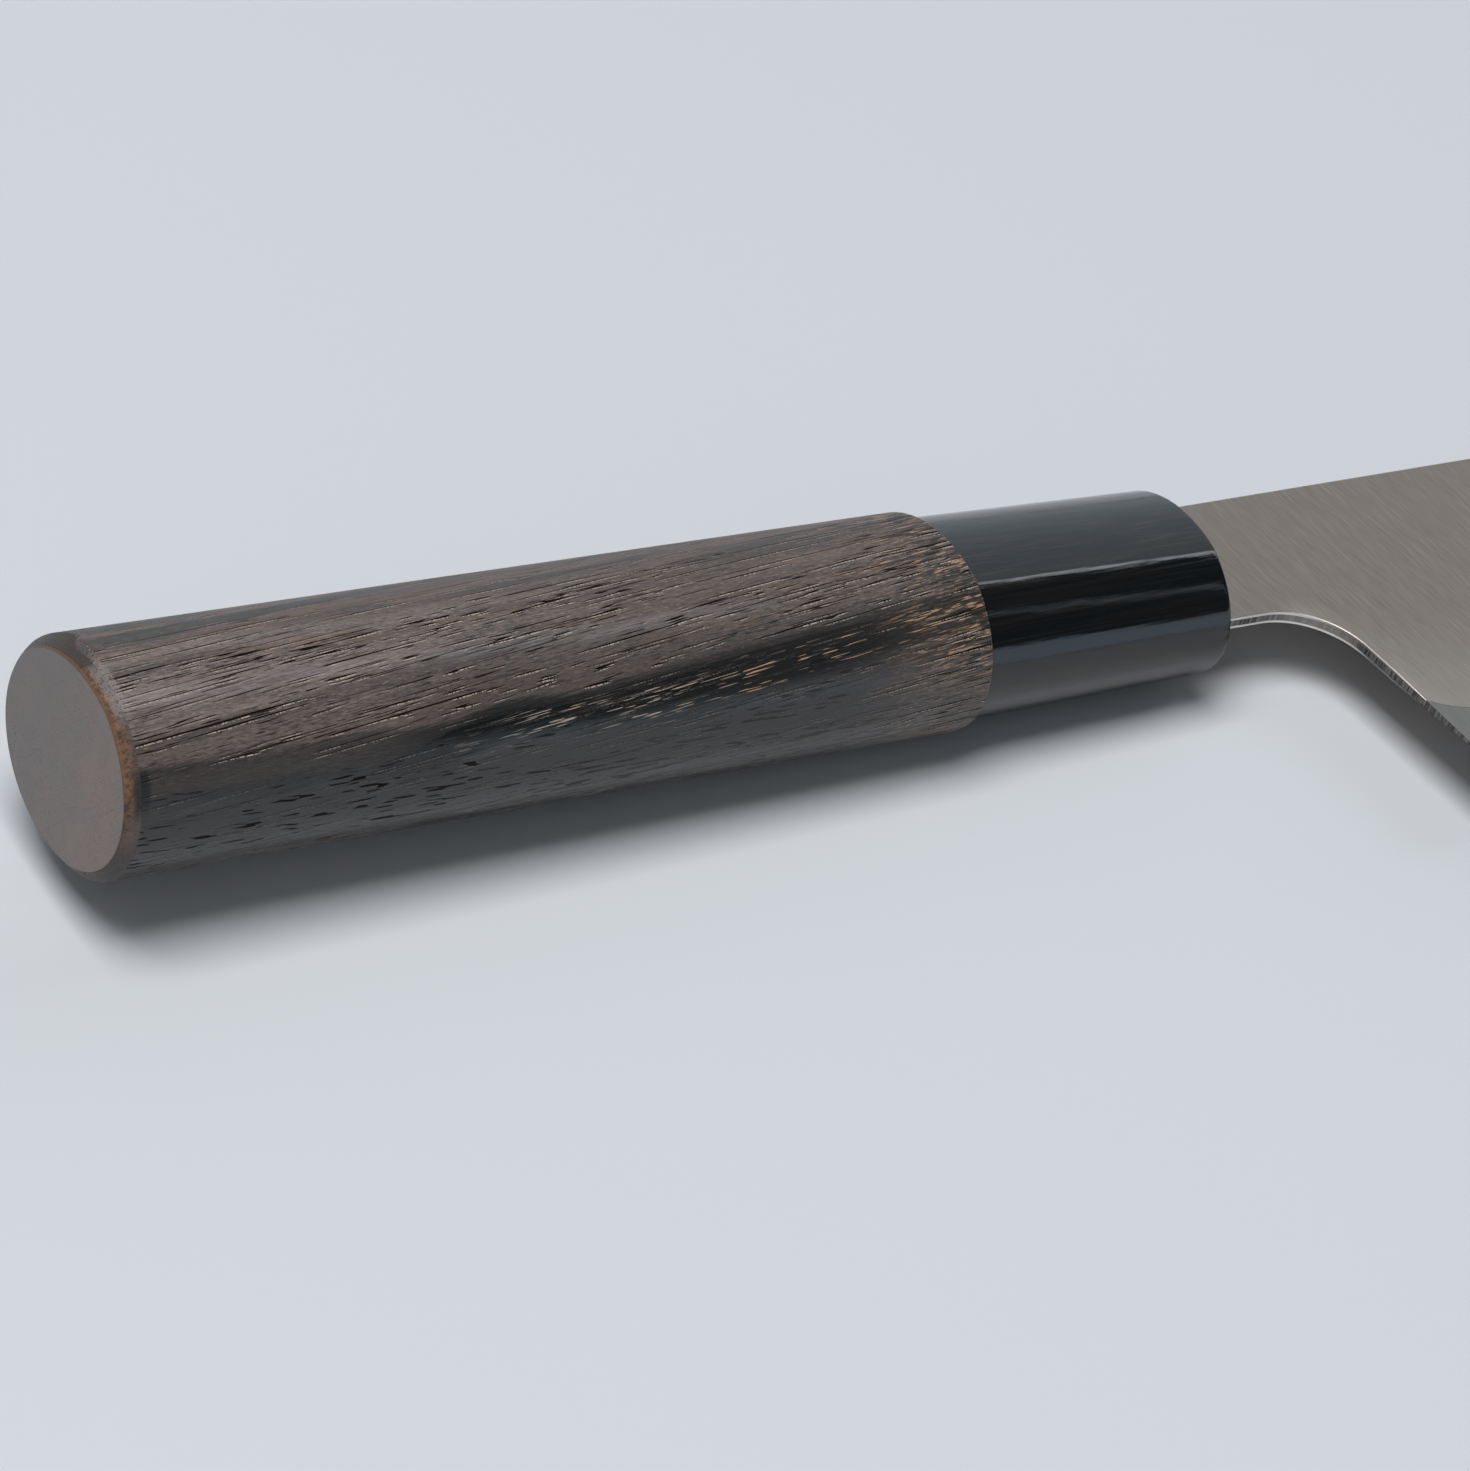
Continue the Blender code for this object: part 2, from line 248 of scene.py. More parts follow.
woodPatterns = {
    "sway": ((30, 8, 8), 1, 0.5),
    "growth": ((60, 2.2, 3.0), 3, 0.55),
    "warm": ((26, 2.4, 2.4), 3, 0.5, (40, 7, 3)),
    "slate": ((30, 1.5, 1.5), 3, 0.5, (5, 21, 13)),
    "fibre": ((4.5, 0.13, 0.13), 3, 0.65),
    "grit": ((0.75, 0.14, 0.14), 1, 0.6),
    "rugged": ((20, 2.6, 2.6), 2, 0.5, (1, 9, 4)),
    "speck": ((1.3, 0.15, 0.15), 2, 0.6),
    "ragged": ((8, 0.28, 0.28), 4, 0.8),
    "bunch": ((9, 0.55, 0.55), 1, 0.5),
    "silk": ((2.6, 0.12, 0.12), 0, 0.5, (2, 4, 6)),
    "flecks": ((2.4, 0.20, 0.20), 3, 0.6, (9, 1, 5)),
    "gaps": ((3.2, 0.34, 0.34), 3, 0.65, (3, 8, 2)),
    "rub": ((6, 0.18, 0.18), 2, 0.55, (8, 8, 8)),
    "wander": ((24, 60, 60), 1, 0.5, (4, 0, 0)),
    "drift": ((24, 1.4, 1.4), 1, 0.5, (11, 5, 9)),
    "dash": ((3.2, 0.145, 0.145), 0, 0.5),
    "line": ((20, 0.15, 0.15), 0, 0.5, (3, 3, 8)),
    "lowPores": ((2.6, 0.25, 0.25), 0, 0.5, (6, 2, 9)),
    "herd": ((18, 1.8, 1.8), 1, 0.5, (1, 6, 4)),
    "dots": ((0.17, 0.35, 0.35), 1, 0.5),
    "some": ((6, 0.7, 0.7), 1, 0.5, (7, 7, 2)),
    "torn": ((0.17, 0.50, 0.36), 3, 0.7),
    "strand": ((2.2, 0.50, 0.50), 2, 0.65, (2, 0, 0)),
    "cloud": ((9.0, 3.4, 4.6), 3, 0.5),
    "vessel": ((5.0, 0.13, 0.13), 2, 0.6),
    "rings": ((9.0, 9.0, 0.35), 1, 0.5),
}


class OiledWood(Finish):
    # The wood's tone is painted in steps, and each lies over those before it. Besides here there
    # are straight along the growth layers, grain along their waves and spiral along the fibres.
    def __init__(self):
        super().__init__("darkOiledWood", woodPatterns)
        self.here = self.knifePoint()
        self.along, self.up, self.out = self.split(self.here)
        turn = Matrix.Rotation(math.radians(-woodLook["slant"]), 3, "Z")
        turn = Matrix.Rotation(math.radians(woodLook["lean"]), 3, "Y") @ turn
        self.straight = self.knifePoint(turn)
        sway = self.pattern("sway", self.straight) - 0.5
        swayX, swayY, swayZ = woodLook["sway"]
        self.grain = self.shift(self.straight, self.join(swayX, sway * swayY, sway * swayZ))
        self.spiral = self.around(0.0)
        self.spineSide = self.up.rise(0.0, 5.0) * self.out.rise(-4.0, 1.0)
        self.tone = woodLook["duskTone"]

    def around(self, turnBy):
        # The oval made round and its spiral fibres laid straight
        values = {"Vector": self.stretch(self.here, woodLook["roundOval"]),
                  "Angle": self.along * woodLook["spiral"] + turnBy}
        return self.node("ShaderNodeVectorRotate", {"rotation_type": "X_AXIS"}, values)

    def paint(self, share, tone):
        tone = woodLook[tone] if isinstance(tone, str) else tone
        self.tone = self.blend(share, self.tone, tone)


def paintGrowth(wood):
    # Broad growth tones, paler towards the butt
    along = wood.along
    growth = wood.pattern("growth", wood.grain)
    wood.paint(growth.rise(0.34, 0.54), "midTone")
    light = growth + along.rise(-60, -110) * (0.17 - wood.spineSide * 0.2)
    wood.paint(light.rise(0.54, 0.74), "paleTone")
    warm = wood.pattern("warm", wood.grain)
    wood.paint(warm.rise(0.52, 0.66) * 0.5 + along.rise(-75, -42) * 0.12, "warmTone")
    slate = wood.pattern("slate", wood.spiral)
    wood.paint(slate.rise(0.48, 0.55) * (wood.spineSide * 0.75 + 0.2), "slateTone")
    wood.paint(along.rise(-112, -48) * 0.36, "deepTone")
    return warm


def paintFibres(wood):
    # Fibres and fine grit, calmer on the spine side
    fibre = wood.pattern("fibre", wood.spiral)
    wood.paint(fibre.rise(0.48, 0.32) * 0.4, "deepTone")
    wood.paint(fibre.rise(0.54, 0.70) * 0.35, "paleTone")
    grit = wood.pattern("grit", wood.here)
    calm = 1.0 - wood.spineSide * 0.6
    wood.paint(grit.rise(0.47, 0.32) * calm * 0.65, "deepTone")
    wood.paint(grit.rise(0.57, 0.74) * calm * 0.32, "creamTone")
    return fibre


def paintSpecks(wood):
    # Rugged patches, most of all along the middle of the edge side, with dark specks in them
    along, up = wood.along, wood.up
    rugged = wood.pattern("rugged", wood.grain).rise(0.44, 0.54)
    patch = along.rise(-102, -88) * along.rise(-52, -64) * up.rise(-3.8, -5.2)
    rugged = (rugged * up.rise(1.0, -2.0)).math("MAXIMUM", patch * 0.9)
    wood.paint(patch * 0.35, "deepTone")
    speck = wood.pattern("speck", wood.spiral)
    wood.paint(speck.rise(0.50, 0.41) * rugged * 0.8, "slateTone")
    wood.paint(speck.rise(0.40, 0.33) * rugged * 0.9, "poreTone")
    return speck, rugged


def paintLayer(wood, speck):
    # A black layer runs along the edge side and the wood below it is dark and smooth
    look = woodLook
    along = wood.along
    ragged = wood.pattern("ragged", wood.spiral) - 0.5
    swell = (along + look["swellPlace"]).near(12.0, 0.0)
    climb = (along + look["climbPlace"]).math("MAXIMUM", 0.0) * look["climb"]
    beside = wood.up + look["layerDrop"] - climb + ragged * look["layerRagged"]
    beside = beside - swell * look["layerSwell"]
    layer = beside * (1.0 - along.rise(-82, -64) * 0.36)
    brown = beside.rise(5.0, 1.0) * along.rise(-66, -88)
    wood.paint(brown * 0.5, "deepTone")
    smoky = (beside - 0.4).near(1.2, 0.3) * along.rise(-62, -50)
    smoky = smoky * along.rise(-33, -38) * speck.rise(0.36, 0.52)
    wood.paint(smoky * 0.4, "shadyTone")
    shady = beside.rise(0.0, -0.7) * along.rise(-33, -50)
    wood.paint(shady * 0.97, "shadyTone")
    strength = along.rise(-104, -90) * 0.30 + 0.65 - along.rise(-76, -54) * 0.28
    black = layer + 0.95 - along.rise(-90, -102) * 1.2
    wood.paint(black.near(1.3, 0.75) * strength, "blackTone")
    return layer, shady


def paintSilk(wood, layer):
    # Pale fibres cross the black layer, more orange towards the ferrule, with their silky sheen
    # painted in
    along = wood.along
    zone = (layer + 1.25 + along.rise(-78, -88) * 0.35).near(0.9, 0.35) * along.rise(-96, -80)
    bunch = wood.pattern("bunch", wood.spiral).rise(0.46, 0.53)
    silk = wood.pattern("silk", wood.spiral).rise(0.63, 0.67) * bunch * zone
    silkTone = wood.blend(along.rise(-78, -52), woodLook["creamTone"], woodLook["sparkTone"])
    wood.paint(silk * 0.9, silkTone)


def paintFlecks(wood, warm):
    # Orange flecks and black gaps at the ferrule's end of the grip
    front = (wood.along + warm * 22).rise(-34, -21) * wood.out.rise(1.0, 5.0)
    flecks = wood.pattern("flecks", wood.spiral).rise(0.54, 0.58)
    wood.paint(flecks * front * 0.85, "sparkTone")
    gaps = wood.pattern("gaps", wood.spiral).rise(0.49, 0.53)
    wood.paint(gaps * front * 0.9, "blackTone")


def paintRidgeHighlight(wood):
    # The ridge is rubbed smooth in thin broken streaks, and a painted highlight lies along them
    # where it catches the light
    rub = wood.pattern("rub", wood.spiral)
    wander = wood.pattern("wander", wood.straight) * 2.0 - 1.0
    rubbed = rub.rise(0.50, 0.58) * 0.6 + wood.along.rise(-112, -119) * 0.35 + 0.25
    crest = (wood.up + woodLook["ridgeDrop"] + wander).near(1.5, 0.1) * rubbed
    crest = crest * wood.along.rise(-50, -66)
    wood.paint(crest * 0.6, "crestTone")
    return crest


def pores(wood, point):
    # Short dashes in drifts and long thin lines
    drift = wood.pattern("drift", point).rise(0.44, 0.55)
    dash = wood.pattern("dash", point).rise(0.64, 0.69)
    line = wood.pattern("line", point).rise(0.69, 0.74)
    return (dash * (drift * 0.9 + 0.1)).math("MAXIMUM", line)


def paintPores(wood, shady):
    # Open pores, with painted pale highlights on the lit wall under them, and wider ones in herds
    # in the dark wood
    spineSide = wood.spineSide
    hollow = pores(wood, wood.spiral) * (1.0 - spineSide * 0.55) * (1.0 - shady * 0.6)
    low = wood.pattern("lowPores", wood.here).rise(0.66, 0.69)
    herd = wood.pattern("herd", wood.spiral).rise(0.48, 0.54)
    herd = herd * (wood.along.rise(-66, -100) * 0.5 + 0.5)
    hollow = hollow.math("MAXIMUM", low * herd * shady)
    dots = wood.pattern("dots", wood.here).rise(0.43, 0.51)
    some = wood.pattern("some", wood.spiral).rise(0.42, 0.54)
    under = pores(wood, wood.around(woodLook["tickTurn"]))
    # Painted highlights on the pores' lit lower walls, fainter in the dark wood and on the spine
    # side
    tickHighlights = (under - hollow).rise(0.3, 0.9) * dots * some
    lit = 1.0 - shady * 0.8 - spineSide * 0.3
    wood.paint(tickHighlights * lit * 0.95, "creamTone")
    wood.paint(hollow, "poreTone")
    return hollow


def paintChamfer(wood):
    # Raw wood shows on the butt's chamfer, on the right, with a black notch, and a painted pale
    # highlight runs where the chamfer meets the side
    look = woodLook
    along, up, out = wood.along, wood.up, wood.out
    torn = wood.pattern("torn", wood.here)
    wide = up.rise(3.5, 6.5) * out.rise(-3.0, 1.0)
    edge = (along - wide * 1.1 + torn * 0.35).rise(buttX + 1.50, buttX + 1.28)
    rightSide = up.rise(2.0, -0.5) * out.rise(-2.5, 0.5)
    rawDeep = (along + torn * 0.8).rise(buttX + 1.8, buttX + 1.4) * rightSide
    nearCap = (along + torn * 0.5).rise(buttX + 1.4, buttX + 0.7) * 0.8 + 0.12
    strand = wood.pattern("strand", wood.here)
    raw = wood.blend(strand.rise(0.33, 0.62) * nearCap, look["charTone"], look["rawTone"])
    pale = strand.rise(0.56, 0.66) * up.rise(-8.0, -4.0) * up.rise(0.5, -2.0)
    raw = wood.blend(pale * 0.4, raw, look["rawPale"])
    raw = wood.blend(up.rise(-10.9, -12.2) * 0.85, raw, look["duskTone"])
    thin = (along + torn * 0.3).rise(buttX + 0.50, buttX + 0.35)
    thin = thin * out.rise(3.5, 6.0) * up.rise(10.5, 8.5)
    bevel = wood.blend(rightSide, look["facetTone"], look["charTone"])
    bevel = wood.blend(rawDeep, bevel, raw)
    bevel = wood.blend(thin * 0.7, bevel, look["rawTone"])
    wood.paint(edge * 0.95, bevel)
    notch = (up + look["notchDrop"]).near(1.3, 0.5) * out.rise(1.0, 3.0)
    notch = notch * (along + look["notchPlace"]).near(1.0, 0.4)
    wood.paint(notch * 0.95, "blackTone")
    # Painted highlight along the edge where the chamfer meets the side
    lipHighlight = along.rise(buttX + 0.30, buttX + 0.65) * along.rise(buttX + 1.95, buttX + 1.65)
    lipHighlight = lipHighlight * up.rise(-7.0, -4.5) * up.rise(1.5, -0.5) * out.rise(0.0, 2.0)
    wood.paint(lipHighlight * torn.rise(0.34, 0.52) * 0.6, "crestTone")
    return edge


def paintButt(wood):
    # The butt is flat end grain
    look = woodLook
    cap = wood.along.rise(buttX + 0.07, buttX + 0.03)
    cloud = wood.pattern("cloud", wood.here)
    vessel = wood.pattern("vessel", wood.here)
    rings = wood.pattern("rings", wood.knifePoint(Matrix.Rotation(0.9, 3, "X")))
    warmth = cloud.rise(0.40, 0.64) * 0.35 + wood.up.rise(5.0, -8.0) * 0.65
    endTone = wood.blend(warmth, look["endTone"], look["endWarm"])
    endTone = wood.blend(vessel.rise(0.57, 0.67) * 0.40, endTone, look["duskTone"])
    endTone = wood.blend(rings.rise(0.66, 0.74) * 0.22, endTone, look["duskTone"])
    wood.paint(cap, endTone)
    return cap, vessel


def makeWood():
    look = woodLook
    wood = OiledWood()
    warm = paintGrowth(wood)
    fibre = paintFibres(wood)
    speck, rugged = paintSpecks(wood)
    layer, shady = paintLayer(wood, speck)
    paintSilk(wood, layer)
    paintFlecks(wood, warm)
    crest = paintRidgeHighlight(wood)
    hollow = paintPores(wood, shady)
    edge = paintChamfer(wood)
    cap, vessel = paintButt(wood)

    side = 1.0 - cap
    rough = look["dull"] - shady * look["shadyPolish"] - cap * look["endPolish"]
    rough = rough + hollow * look["poreDull"]
    rough = rough + (fibre.rise(0.3, 0.7) - 1.0) * (1.0 - shady) * look["fibrePolish"]
    rough = wood.between(crest, rough, look["crestDull"])
    carved = wood.bump((1.0 - hollow) * side, look["poreDepth"])
    soft = side * (1.0 - shady * look["shadySmooth"]) * (1.0 - crest * look["crestSmooth"])
    fine = (fibre + speck * rugged) * soft + vessel * cap * look["vesselHeight"]
    # As black metal the open pores give back no light
    wood.put({"Base Color": wood.tone, "Metallic": hollow * (1.0 - edge) * look["poreMetal"],
              "Roughness": rough, "Normal": wood.bump(fine, look["fibreDepth"], carved),
              "IOR": look["ior"]})
    return wood.material


# Handle shells, in metres. A shell is swept along a line of stations, each with x, how far it
# stands in from the outside, how far it shrinks to the middle and which section it has. Near
# the butt a station has a fifth value: how far it slides forward on the spine side, where the
# chamfer is wider.

handleSizes = {
    "aroundSteps": 384,
    "ridgeRise": 0.45 * mm, "ridgeAngle": math.radians(115), "ridgeSpread": math.radians(26),
    "ridgeSoftness": math.radians(1.6),
    "slideAngle": math.radians(62), "slideSpread": math.radians(30),
    "boreRadius": 6.75 * mm,
    "slotLow": -8.1 * mm, "slotHigh": 10.45 * mm, "slotHalf": 1.4 * mm,
    "rippleLengths": (14 * mm, 3.5 * mm, 3.5 * mm),
    "weldDistance": 0.002 * mm, "creaseAngle": math.radians(34), "rimSteps": 5,
}
gripSizes = {
    "backX": buttX * mm, "frontX": -30.85 * mm,
    "backHeight": 24.8 * mm, "backWidth": 20.8 * mm,
    "frontHeight": 24.6 * mm, "frontWidth": 20.0 * mm,
    "chamfer": 1.2 * mm, "slide": 1.1 * mm, "slideLength": 14 * mm,
    "capShares": (0, .3, .6, .85, .97, .995),
    "chamferShares": (0, .04, .15, .35, .55, .75, .9, .97), "chamferSwell": 0.05 * mm,
    "frontRound": 0.4 * mm, "boreEnd": -69.35 * mm,
    "sideRows": 224, "ripple": 0.05 * mm, "rippleSeed": 0.4,
}
ferruleSizes = {
    "backX": -30.6 * mm, "frontX": 0.0,
    "backHeight": 23.0 * mm, "backWidth": 18.4 * mm,
    "frontHeight": 22.0 * mm, "frontWidth": 16.6 * mm,
    "frontRound": 0.3 * mm, "slotEnd": -10.0 * mm, "boreEnd": -10.5 * mm,
    "sideRows": 90, "ripple": 0.018 * mm, "rippleSeed": 1.7,
}
oval, bored, slotted = 0.0, 1.0, 2.0
shellInputs = ("Back X", "Front X", "Back Height", "Back Width", "Front Height", "Front Width",
               "Ridge Rise", "Ridge Angle", "Ridge Spread", "Ridge Softness", "Slide Angle",
               "Slide Spread", "Bore Radius", "Slot Low", "Slot High", "Slot Half", "Ripple",
               "Ripple Seed")


def shellSheet(make, given):
    # A flat sheet, with each point's row and its angle round the handle
    rows, around = given("Rows"), given("Around")
    values = {"Size X": rows - 1.0, "Size Y": around, "Vertices X": rows,
              "Vertices Y": around + 1.0}
    sheet = make.node("GeometryNodeMeshGrid", None, values)
    sheetX, sheetY, _ = make.split(make.node("GeometryNodeInputPosition"))
    row = (sheetX + (rows - 1.0) * 0.5).math("ROUND")
    angle = (sheetY + around * 0.5).math("ROUND") / around * math.tau
    return sheet, row, angle


def shellStation(make, given, row, angle):
    # The place, inset, shrinking and section that a row takes from its station
    def atStation(value, kind):
        values = {"Geometry": given("Geometry"), "Value": value, "Index": row}
        return make.node("GeometryNodeSampleIndex", {"data_type": kind}, values)

    def named(name):
        return make.node("GeometryNodeInputNamedAttribute", {"data_type": "FLOAT"}, {"Name": name})

    place = atStation(make.node("GeometryNodeInputPosition"), "FLOAT_VECTOR")
    x, inset, shrink = make.split(place)
    aside = (angle - given("Slide Angle")).math("WRAP", math.pi, -math.pi) / given("Slide Spread")
    x = x + atStation(named("slide"), "FLOAT") * (aside * aside * -1.0).math("EXPONENT")
    return x, inset, shrink, atStation(named("section"), "FLOAT")


def ovalPoint(make, given, x, inset, shrink, angle):
    # The oval narrows along the handle and carries the soft ridge and a hand-made ripple
    share = (x - given("Back X")) / (given("Front X") - given("Back X"))
    high = make.between(share, given("Back Height"), given("Front Height")) * 0.5
    wide = make.between(share, given("Back Width"), given("Front Width")) * 0.5
    reachY, reachZ = high * angle.math("COSINE"), wide * angle.math("SINE")
    reach = (reachY * reachY + reachZ * reachZ).math("SQRT")
    away = (angle - given("Ridge Angle")).math("WRAP", math.pi, -math.pi)
    soft = given("Ridge Softness")
    away = (away * away + soft * soft).math("SQRT")
    ridge = given("Ridge Rise") * (away / given("Ridge Spread") * -1.0).math("EXPONENT")
    spot = make.shift(make.join(x, reachY, reachZ), make.join(given("Ripple Seed"), 0.0, 0.0))
    dent = make.noise(spot, handleSizes["rippleLengths"], 2) * given("Ripple")
    grown = (reach + ridge - dent - inset) / reach * shrink
    return make.join(x, reachY * grown, reachZ * grown)


def innerPoints(make, given, x, shrink, angle):
    # The round bore and the blade's slot
    turnY, turnZ = angle.math("COSINE"), angle.math("SINE")
    bore = given("Bore Radius") * shrink
    borePoint = make.join(x, turnY * bore, turnZ * bore)
    square = turnY.math("ABSOLUTE").math("MAXIMUM", turnZ.math("ABSOLUTE"))
    slotY = make.between((turnY / square + 1.0) * 0.5, given("Slot Low"), given("Slot High"))
    slotPoint = make.join(x, slotY, turnZ / square * given("Slot Half"))
    return borePoint, slotPoint


def shellTree(material):
    tree = bpy.data.node_groups.new("handleShell", "GeometryNodeTree")
    sockets = tree.interface
    sockets.new_socket("Geometry", in_out="INPUT", socket_type="NodeSocketGeometry")
    for name in ("Rows", "Around"):
        sockets.new_socket(name, in_out="INPUT", socket_type="NodeSocketInt")
    for name in shellInputs:
        sockets.new_socket(name, in_out="INPUT", socket_type="NodeSocketFloat")
    sockets.new_socket("Geometry", in_out="OUTPUT", socket_type="NodeSocketGeometry")
    make = NodeMaker(tree)
    given = make.node("NodeGroupInput").output
    sheet, row, angle = shellSheet(make, given)
    x, inset, shrink, section = shellStation(make, given, row, angle)
    point = ovalPoint(make, given, x, inset, shrink, angle)
    borePoint, slotPoint = innerPoints(make, given, x, shrink, angle)
    point = make.betweenPoints(section, point, borePoint)
    point = make.betweenPoints(section - 1.0, point, slotPoint)
    shaped = make.node("GeometryNodeSetPosition", None, {"Geometry": sheet, "Position": point})
    values = {"Geometry": shaped, "Distance": handleSizes["weldDistance"]}
    closed = make.node("GeometryNodeMergeByDistance", None, values)
    whole = make.node("GeometryNodeRealizeInstances", None, {"Geometry": closed})
    painted = make.node("GeometryNodeSetMaterial", None, {"Geometry": whole, "Material": material})
    make.node("NodeGroupOutput", None, {"Geometry": painted})
    return tree


def sweepShell(node, stations, sizes, material):
    name = node + "Shell"
    line = bpy.data.meshes.new(name + "Line")
    line.from_pydata([station[:3] for station in stations], [], [])
    for column, label in ((3, "section"), (4, "slide")):
        # Most stations have no slide of their own, so a 0 is added behind them
        values = [(*station, 0)[column] for station in stations]
        line.attributes.new(label, "FLOAT", "POINT").data.foreach_set("value", values)
    shell = bpy.data.objects.new(name + "Line", line)
    bpy.context.scene.collection.objects.link(shell)
    sweep = shell.modifiers.new("sweep", "NODES")
    sweep.node_group = shellTree(material)
    settings = {**handleSizes, **sizes, "rows": len(stations), "around": handleSizes["aroundSteps"]}
    for item in sweep.node_group.interface.items_tree:
        # Ridge Rise takes its value from ridgeRise, and so on
        key = item.name[0].lower() + item.name[1:].replace(" ", "")
        if item.in_out == "INPUT" and key in settings:
            sweep[item.identifier] = settings[key]
    bpy.context.view_layer.update()
    ready = shell.evaluated_get(bpy.context.evaluated_depsgraph_get())
    mesh = bpy.data.meshes.new_from_object(ready)
    shell.modifiers.remove(sweep)
    bpy.data.objects.remove(shell)
    mesh.name = name
    outward(mesh)
    mesh.transform(restMatrix)
    mesh.shade_smooth()
    mesh.set_sharp_from_angle(angle=handleSizes["creaseAngle"])
    addMesh(name, mesh, material, node)


def frontRim(x, radius):
    # Stations from the side round to the front end at x
    steps = handleSizes["rimSteps"]
    turns = [math.pi / 2 * step / steps for step in range(steps + 1)]
    return [(x - radius * (1 - math.sin(turn)), radius * (1 - math.cos(turn)), 1, oval)
            for turn in turns]


def makeGrip(material):
    s = gripSizes
    stations = [(s["backX"], s["chamfer"], shrink, oval) for shrink in s["capShares"]]
    for share in s["chamferShares"]:
        swell = s["chamferSwell"] * math.sin(math.pi * share)
        stations.append((s["backX"] + s["chamfer"] * share - swell,
                         s["chamfer"] * (1 - share) - swell, 1, oval, s["slide"] * share))
    sideBack, sideFront = s["backX"] + s["chamfer"], s["frontX"] - s["frontRound"]
    for row in range(s["sideRows"]):
        x = sideBack + (sideFront - sideBack) * row / s["sideRows"]
        slide = max(0, 1 - (x - sideBack) / s["slideLength"]) * s["slide"]
        stations.append((x, 0, 1, oval, slide))
    stations += frontRim(s["frontX"], s["frontRound"])
    halfway = (oval + bored) / 2
    stations += [(s["frontX"], s["frontRound"], 1, halfway), (s["frontX"], 0, 1, bored)]
    stations += [(s["boreEnd"], 0, 1, bored), (s["boreEnd"], 0, 0, bored)]
    sweepShell("grip", stations, s, material)


def makeFerrule(material):
    s = ferruleSizes
    side = s["frontX"] - s["frontRound"] - s["backX"]
    stations = [(s["backX"] + side * row / s["sideRows"], 0, 1, oval)
                for row in range(s["sideRows"])]
    stations += frontRim(s["frontX"], s["frontRound"])
    stations += [(s["frontX"], 0, 1, slotted), (s["slotEnd"], 0, 1, slotted)]
    stations += [(s["boreEnd"], 0, 1, bored), (s["backX"], 0, 1, bored), (s["backX"], 0, 1, oval)]
    sweepShell("ferrule", stations, s, material)


ferruleLook = {
    "slant": 1.5,                        # degrees its grain runs off the handle's axis
    "blackTone": (0.0035, 0.0050, 0.0060),
    "brownTone": (0.010, 0.008, 0.0068),
    "topTone": (0.030, 0.025, 0.022),
    "dull": 0.045, "ior": 1.62,
    "waveDepth": 0.000020,
}
ferrulePatterns = {
    "bands": ((60, 1.0, 1.0), 3, 0.55),
    "lines": ((22, 0.20, 0.20), 3, 0.65),
    "waves": ((7, 1.0, 1.0), 2, 0.5),
}


def makePakkawood():
    look = ferruleLook
    black = Finish("polishedBlackWood", ferrulePatterns)
    here = black.knifePoint(Matrix.Rotation(math.radians(-look["slant"]), 3, "Z"))
    along, up, _ = black.split(here)
    bands = black.pattern("bands", here)
    lines = black.pattern("lines", here)
    tone = black.blend(bands.rise(0.48, 0.66) * 0.8, look["blackTone"], look["brownTone"])
    lineTone = black.blend(up.rise(-5.0, -3.5), look["brownTone"], look["topTone"])
    tone = black.blend(lines.rise(0.52, 0.64) * 0.7, tone, lineTone)
    rim = along.rise(-0.55, -0.2)
    tone = black.blend(rim * 0.7, tone, look["brownTone"])
    rough = look["dull"] + lines.rise(0.4, 0.7) * 0.10 + bands * 0.04
    waves = black.pattern("waves", here) + lines * 0.26
    black.put({"Base Color": tone, "Roughness": rough, "IOR": look["ior"],
               "Normal": black.bump(waves, look["waveDepth"])})
    return black.material


# Blade layers, drawn in millimetres in the knife's own frame

bladeSizes = {
    # Outline
    "length": 165.0, "spineOffset": 9.95, "spineRise": math.radians(0.9),
    "neckOffset": 7.6, "heelSetback": 17.9, "heelDepth": 35.0, "heelLean": math.radians(7),
    "choilRadius": 8.2, "noseLength": 58.0, "tipRise": 8.0, "edgeFlat": 62.0,
    "tangStart": 10.0, "tangLength": 64.0, "tangRootHeight": 7.2, "tangEndHeight": 5.0,
    "edgeStep": 1.2, "edgeArcSteps": 60, "noseSteps": 56, "neckStep": 2.0,
    "choilSteps": 34, "heelStep": 0.8,
    # Thickness
    "spineThickness": 1.8, "tipThinning": 0.00044, "edgeThinning": 0.008,
    "coreThickness": 0.72, "layerGap": 0.02, "leastCladding": 0.006,
    "bevelHeight": 15.0, "shoulderDrop": 0.05, "shoulderWidth": 0.25,
    "bevelFallStart": 130.0, "bevelFallLength": 52.0, "bevelFall": 0.4,
    "edgeHalf": 0.05, "honeWidth": 0.35, "honeHalf": 0.012, "honeTop": 0.063,
    "rimWidth": 0.45, "rimDrop": 0.12, "rimRows": (0.1, 0.35, 0.7, 1.0),
    # The line where the core comes out of the claddings: its waves have height, length and start
    "line": 9.1, "lineWaves": ((0.5, 7.3, 0.6), (0.3, 3.1, 2.0), (0.175, 1.37, 0.0)),
    "lineFallStart": 120.0, "lineFallLength": 64.0, "lineFall": 0.45,
    "lineRiseStart": 20.5, "lineRiseLength": 4.0, "lineRise": 1.9,
    "lineBefore": 6.0, "lineBeyond": 2.0, "neckBefore": 5.0,
    "grooveWidth": 0.03, "grooveDepth": 0.08, "grooveReach": 1.5, "coreBack": 0.008,
    # Mesh, and the choil's polished rim, painted bright as a highlight
    "pointSpacing": 2.1, "rowShare": 0.866, "clearShare": 0.45, "lineStep": 0.5,
    "creaseAngle": math.radians(40),
    "glowReach": 3.0, "glowPoints": 48, "glowFade": 1.5,
}


